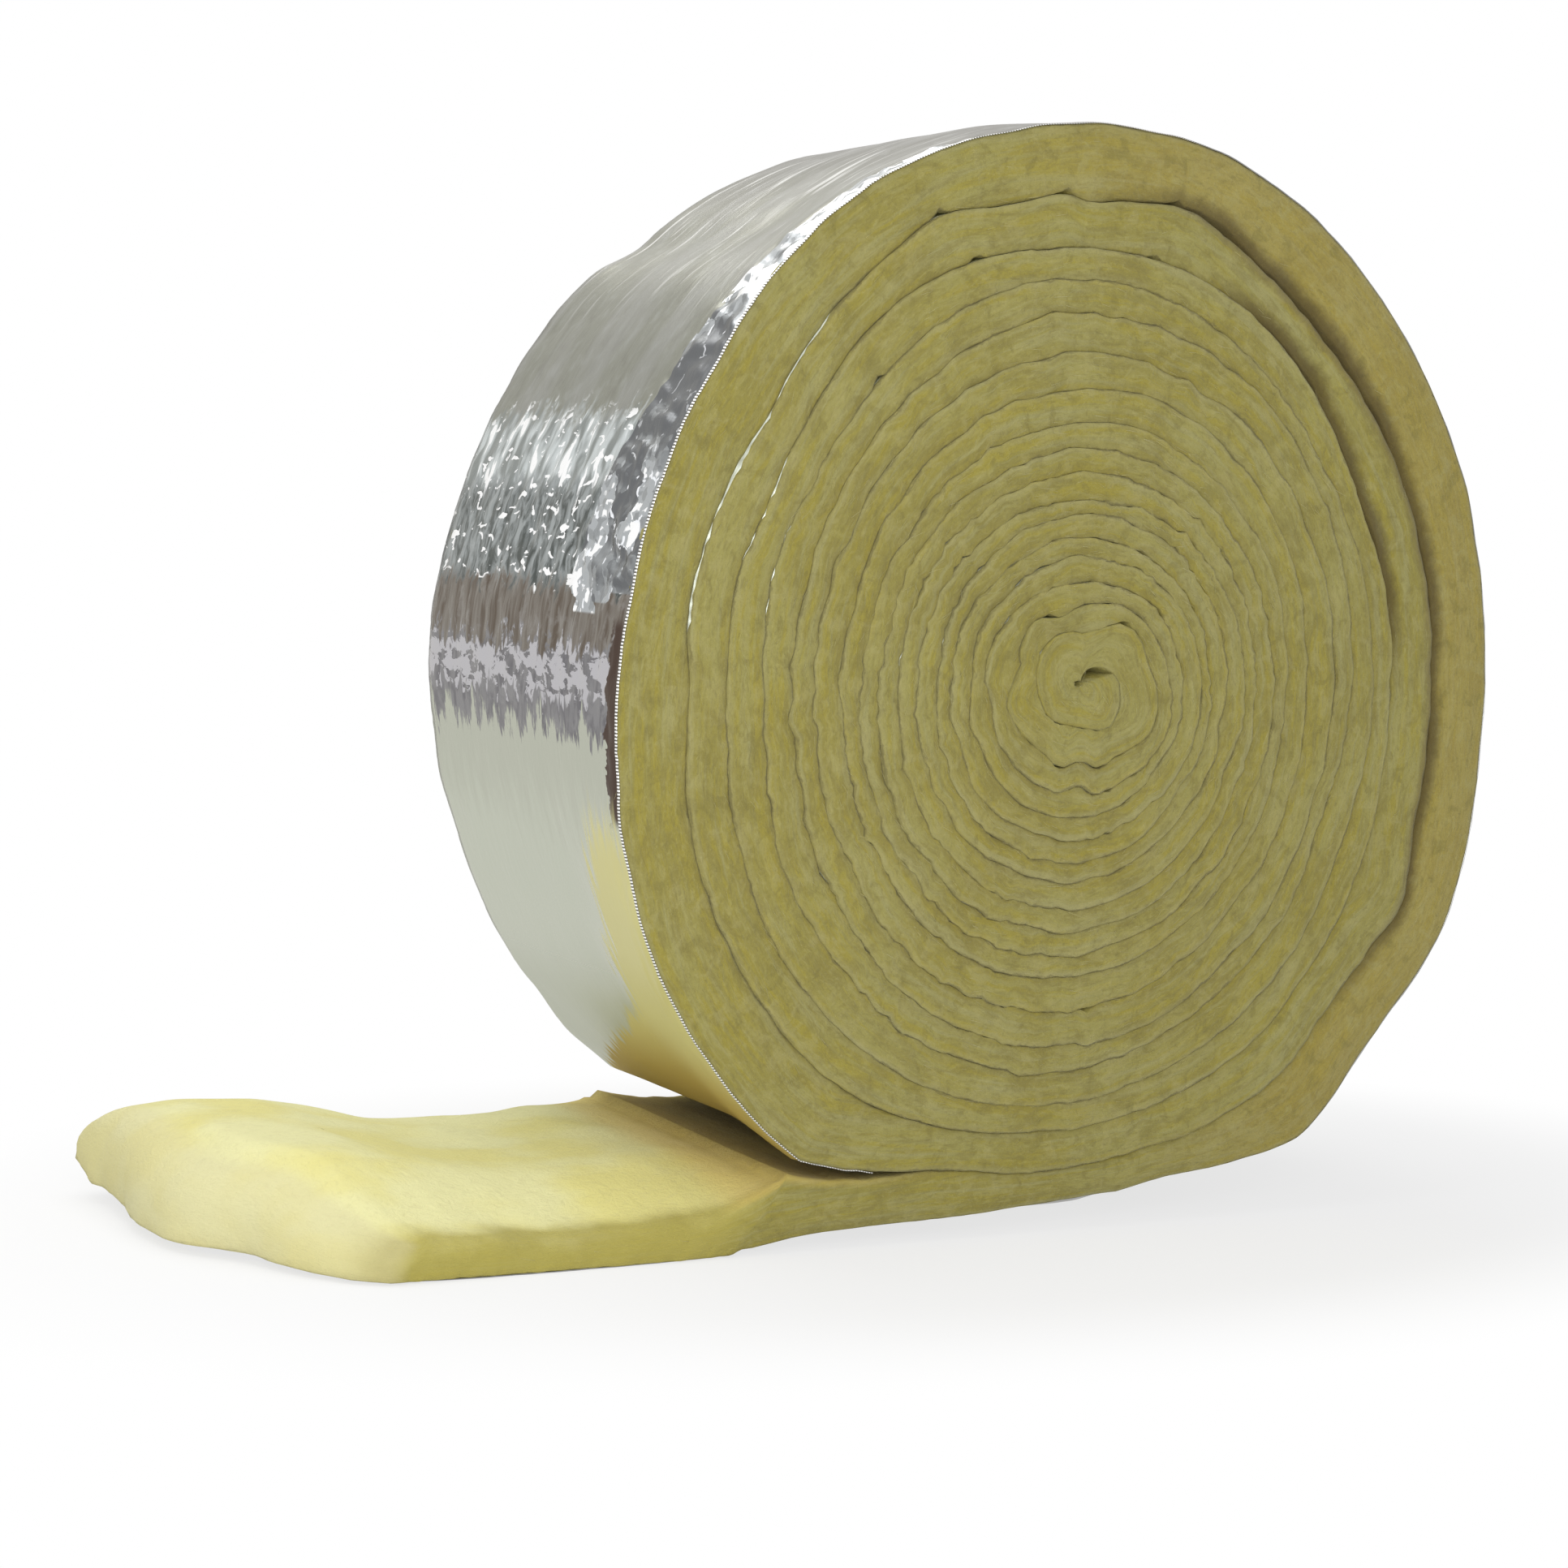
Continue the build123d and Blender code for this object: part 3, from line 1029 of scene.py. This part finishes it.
def foil_zones(finish, flat, turn):
    """The foil's tones from the top of the roll down to the nip, all painted reflections and
    highlights: satin, leaves, grey, brown, pale patches and bright mirror, with ragged borders,
    and plain foil up the other side."""
    streaks = finish.drawn_out(flat, (8, 1, 130), 4.0, 0.6, 0.5)
    shreds = finish.drawn_out(flat, (42, 1, 110), 4.0, 0.6, 0.7)
    leaves = finish.drawn_out(flat, (26, 1, 80), 2.0, 0.45, 0.3)
    glint_flecks = finish.drawn_out(flat, (130, 1, 85), 2.0, 0.5, 0.6)
    islands = finish.drawn_out(flat, (75, 1, 50), 5.0, 0.62, 0.5)
    crinkles = finish.drawn_out(flat, (45, 1, 75), 4.0, 0.6, 0.3)
    sweeps = finish.drawn_out(flat, (5, 1, 22), 3.0, 0.5, 0.4)
    rough = finish.shifted(turn, shreds, 0.03)
    ragged = finish.shifted(turn, finish.drawn_out(flat, (18, 1, 110), 5.0, 0.65), 0.055)
    # Painted reflections over the top, darker up toward it, with painted bright streaks and sweeps
    satin = finish.toned(turn, 0.61, 0.7, (0.125, 0.118, 0.105), (0.265, 0.267, 0.225))
    satin = finish.tinted(
        satin,
        (crinkles, 0.5, 0.7, 0.35, (0.4, 0.41, 0.39)),
        (crinkles, 0.5, 0.3, 0.4, (0.18, 0.175, 0.15)),
        (sweeps, 0.46, 0.64, 0.4, (0.36, 0.36, 0.35)),
        (streaks, 0.55, 0.66, 1.0, (0.62, 0.62, 0.6), finish.within(turn, 0.63, 0.72, 0.03)),
        (streaks, 0.45, 0.33, 0.2, (0.17, 0.17, 0.145)),
    )
    # Painted reflections further down, band by band: glow, grey, brown, dusk with pale patches,
    # mirror
    glow = finish.toned(leaves, 0.4, 0.6, (0.26, 0.28, 0.27), (0.62, 0.66, 0.66))
    grey = finish.toned(shreds, 0.36, 0.64, (0.09, 0.1, 0.095), (0.36, 0.385, 0.385))
    painted_dim_band = finish.toned(streaks, 0.36, 0.64, (0.125, 0.1, 0.078), (0.23, 0.21, 0.185))
    painted_dim_band = finish.tinted(painted_dim_band, (crinkles, 0.5, 0.66, 0.5, (0.31, 0.295, 0.275)))
    dusk = finish.toned(shreds, 0.38, 0.62, (0.165, 0.16, 0.17), (0.25, 0.245, 0.25))
    pale = finish.toned(islands, 0.462, 0.475, dusk, (0.5, 0.49, 0.51))
    dusk = finish.blend(finish.within(rough, 0.838, 0.852, 0.001), dusk, pale)
    clear = finish.toned(ragged, 0.87, 0.9, (0.47, 0.485, 0.405), (0.52, 0.545, 0.455))
    plain = finish.toned(streaks, 0.38, 0.62, (0.27, 0.268, 0.255), (0.36, 0.36, 0.35))
    plain = finish.tinted(plain, (sweeps, 0.45, 0.65, 0.5, (0.44, 0.445, 0.44)))
    # Laid down the roll, with painted white leaf highlights and glints in the grip bands
    return finish.tinted(
        satin,
        (rough, 0.764, 0.774, 1.0, glow),
        (rough, 0.787, 0.793, 1.0, grey),
        (leaves, 0.595, 0.62, 1.0, white, finish.within(rough, 0.77, 0.794, 0.003)),
        (glint_flecks, 0.62, 0.64, 1.0, white, finish.within(rough, 0.768, 0.826, 0.006)),
        (rough, 0.818, 0.823, 1.0, painted_dim_band),
        (rough, 0.836, 0.838, 1.0, dusk),
        (ragged, 0.859, 0.863, 1.0, clear),
        (turn, 0.6, 0.52, 1.0, plain),
    )


def crumpled_strip(finish, flat, turn, tone):
    """The share and the colour of the crumpled strip: flat facets from dark to glaring white, as
    painted reflections shaded by each facet's slope, with painted highlights along some folds.
    """
    folded = finish.warped(finish.stretched(flat, (36, 1, 52)), 1.6, 0.8)
    broad = finish.facets(folded)
    chips = finish.facets(finish.warped(finish.stretched(flat, (110, 1, 150)), 1.0, 0.6))
    # Painted reflections: random tone per facet, lighter by slope and above the grip, darker at it
    shade = finish.plus(finish.times(broad, 0.62), finish.times(chips, 0.28))
    shade = finish.plus(shade, finish.times(finish.part(tone, 0), 0.22))
    shade = finish.plus(shade, finish.span(turn, 0.745, 0.725, 0.0, 0.36))
    painted_dim_band = finish.within(turn, 0.745, 0.782, 0.01)
    shade = finish.minus(shade, finish.times(painted_dim_band, 0.38))
    painted_facet_reflection = finish.toned(shade, 0.2, 0.5, (0.15, 0.155, 0.16), (0.33, 0.345, 0.35))
    some_folds = finish.span(finish.cloud(flat, 90.0), 0.53, 0.58)
    outside_painted_dim_band = finish.minus(1.0, finish.times(painted_dim_band, 0.6))
    painted_facet_reflection = finish.tinted(
        painted_facet_reflection,
        (shade, 0.52, 0.56, 1.0, (0.44, 0.46, 0.47)),
        (shade, 0.71, 0.74, 1.0, white),
        (finish.folds_between(folded), 0.06, 0.025, 1.0, (0.95, 0.97, 1.0), some_folds, outside_painted_dim_band),
    )
    reach = finish.shifted(finish.part(tone, 1), broad, 0.7)
    return finish.span(reach, 0.47, 0.53), painted_facet_reflection


def tail_mirrored(finish, flat, turn, edge):
    """The share of the foil, low down by the near border, where the yellow tail's reflection
    is painted on.
    """
    streaks = finish.drawn_out(flat, (12, 1, 130), 4.0, 0.6)
    reach = finish.plus(finish.span(turn, 0.87, 0.955, 0.062, 0.105),
                        finish.span(turn, 0.94, 1.01, 0.0, 0.21))
    inside = finish.minus(finish.shifted(edge, streaks, 0.1), reach)
    started = finish.span(finish.shifted(turn, streaks, 0.05), 0.878, 0.894)
    return finish.times(finish.span(inside, 0.004, -0.014), started)


# The pitch of the teeth that the foil's cut border shows, in metres
tooth_pitch = 0.0024


def foil_finish():
    """Metal foil on kraft paper: satin over the top, crumpled at the grip, bright below it, its
    tones painted reflections and highlights, with the yellow free end's reflection painted low
    down.
    """
    finish = Finish("foil")
    flat = finish.attribute("lay", "Vector")
    turn = finish.attribute("turn")
    edge = finish.attribute("edge")
    strip, painted_facet_reflection = crumpled_strip(finish, flat, turn, finish.attribute("tone", "Vector"))
    # The zones' painted reflections, with the strip's painted facet reflections along the near
    # border
    colour = finish.blend(strip, foil_zones(finish, flat, turn), painted_facet_reflection)
    hem_reach = finish.shifted(edge, finish.cloud(flat, 60.0, 3.0, 0.6), 0.03)
    hem = (hem_reach, 0.0155, 0.0145, 1.0, (0.085, 0.06, 0.048))
    colour = finish.tinted(colour, (*hem, finish.within(turn, 0.829, 0.884, 0.002)))
    # Painted reflection of the yellow free end, low by the near border, less metallic and rougher
    # there
    yellow = tail_mirrored(finish, flat, turn, edge)
    tail_reflection_tone = finish.toned(turn, 0.945, 0.985, (0.66, 0.62, 0.29), (0.52, 0.41, 0.13))
    colour = finish.blend(yellow, colour, tail_reflection_tone)
    # The cut border's knurled teeth, painted as alternating white glints and shade
    teeth = finish.maths("SINE", finish.times(finish.part(flat, 0), 2 * math.pi / tooth_pitch))
    knurl_glints = finish.toned(teeth, -0.4, 0.4, (0.16, 0.15, 0.13), (1.0, 1.0, 0.97))
    cut = (edge, 0.0026, 0.0022, 1.0, knurl_glints, finish.span(turn, 0.55, 0.58))
    colour = finish.tinted(colour, cut)
    rough = finish.span(turn, 0.76, 0.8, 0.3, 0.16)
    rough = finish.plus(rough, finish.times(yellow, 0.3))
    rough = finish.plus(rough, finish.span(turn, 0.92, 0.96, 0.0, 0.25))
    metal = finish.minus(1.0, finish.times(yellow, 0.6))
    fine = finish.drawn_out(flat, (40, 1, 150), 4.0, 0.6, 0.6)
    finish.set(Base_Color=colour, Roughness=rough, Metallic=metal)
    finish.set(Specular_Tint=(0.86, 0.85, 0.82, 1.0), Normal=finish.bump(fine, 0.0012, 0.3))
    return finish.material


# The floor: its size, and how far round the roll its shadow is let show
floor_size = 14.0
shadow_inner = 0.7
shadow_outer = 1.15
shadow_share = 0.3


def floor_finish():
    """A white studio floor, which keeps a soft shadow round the roll."""
    finish = Finish("floor_white")
    finish.set(Base_Color=(0.82, 0.82, 0.82, 1.0), Roughness=0.9, Specular_IOR_Level=0.0)
    place = finish.stretched(finish.object_place(), (1.15, 2.3, 1))
    distance = finish.add("VectorMath", "Value", {0: place}, operation="LENGTH")
    far = finish.span(distance, shadow_inner, shadow_outer, 1 - shadow_share, 1.0)
    glow = finish.add("Emission", 0, {"Strength": 1.0})
    finish.show_by_ray(finish.surface.outputs[0], glow, far)
    return finish.material


def make_floor():
    bm = bmesh.new()
    bmesh.ops.create_grid(bm, x_segments=1, y_segments=1, size=floor_size / 2)
    floor = finish_mesh(bm, "floor", floor_finish())


def make_world(light):
    """White to the camera and to the foil, and a softer light on everything else."""
    world = bpy.data.worlds.new("studio")
    bpy.context.scene.world = world
    studio = Nodes(world)
    soft = studio.nodes["Background"]
    soft.inputs["Color"].default_value = (1, 1, 1, 1)
    soft.inputs["Strength"].default_value = light
    clear = studio.add("Background", 0, {"Color": (1, 1, 1, 1), "Strength": 1.0})
    studio.show_by_ray(soft.outputs[0], clear)


def add_lamp(name, place, target, size, power):
    """A large soft lamp that shines from its place at its target."""
    light = bpy.data.lights.new(name, "AREA")
    light.shape = "RECTANGLE"
    light.size, light.size_y = size
    light.energy = power
    lamp = bpy.data.objects.new(name, light)
    bpy.context.scene.collection.objects.link(lamp)
    lamp.location = place
    lamp.rotation_mode = "QUATERNION"
    lamp.rotation_quaternion = (Vector(target) - Vector(place)).to_track_quat("-Z", "Y")


def make_camera():
    data = bpy.data.cameras.new("camera")
    data.lens = camera_lens
    data.sensor_width = 36.0
    camera = bpy.data.objects.new("camera", data)
    bpy.context.scene.collection.objects.link(camera)
    back = (Vector(camera_place) - Vector(camera_target)).normalized()
    level = Vector((0, 0, 1)).cross(back).normalized()
    turned = Matrix.Rotation(math.radians(camera_roll), 3, back)
    axes = Matrix((turned @ level, turned @ back.cross(level), back)).transposed().to_4x4()
    axes.translation = camera_place
    camera.matrix_world = axes
    bpy.context.scene.camera = camera


def dress_roll():
    wool_material = wool_finish()
    foil_material = foil_finish()
    sections = make_sections()
    wool = make_wool(sections, wool_material)
    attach(wool, "root")
    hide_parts("wool_blanket")
    skin = make_foil_skin(foil_material)
    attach(skin, "root")
    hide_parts("foil_facing")
    turns = make_foil_turns(sections, foil_material)
    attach(turns, "root")
    fibres = make_fibres(sections, fibre_finish())
    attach(fibres, "root")


make_camera()
dress_roll()
make_floor()
make_world(light=0.5)
add_lamp("overhead_softbox", (-0.5, 0.5, 2.3), (-0.2, 0.0, 0.3), (2.4, 2.0), 32.0)
add_lamp("front_softbox", (-1.6, -2.25, 1.15), (0.0, 0.0, 0.3), (1.6, 1.6), 27.0)
add_lamp("low_fill", (-1.2, -2.2, 0.22), (-0.25, 0.0, 0.1), (2.2, 0.35), 8.0)
bpy.context.scene.view_settings.view_transform = "Standard"
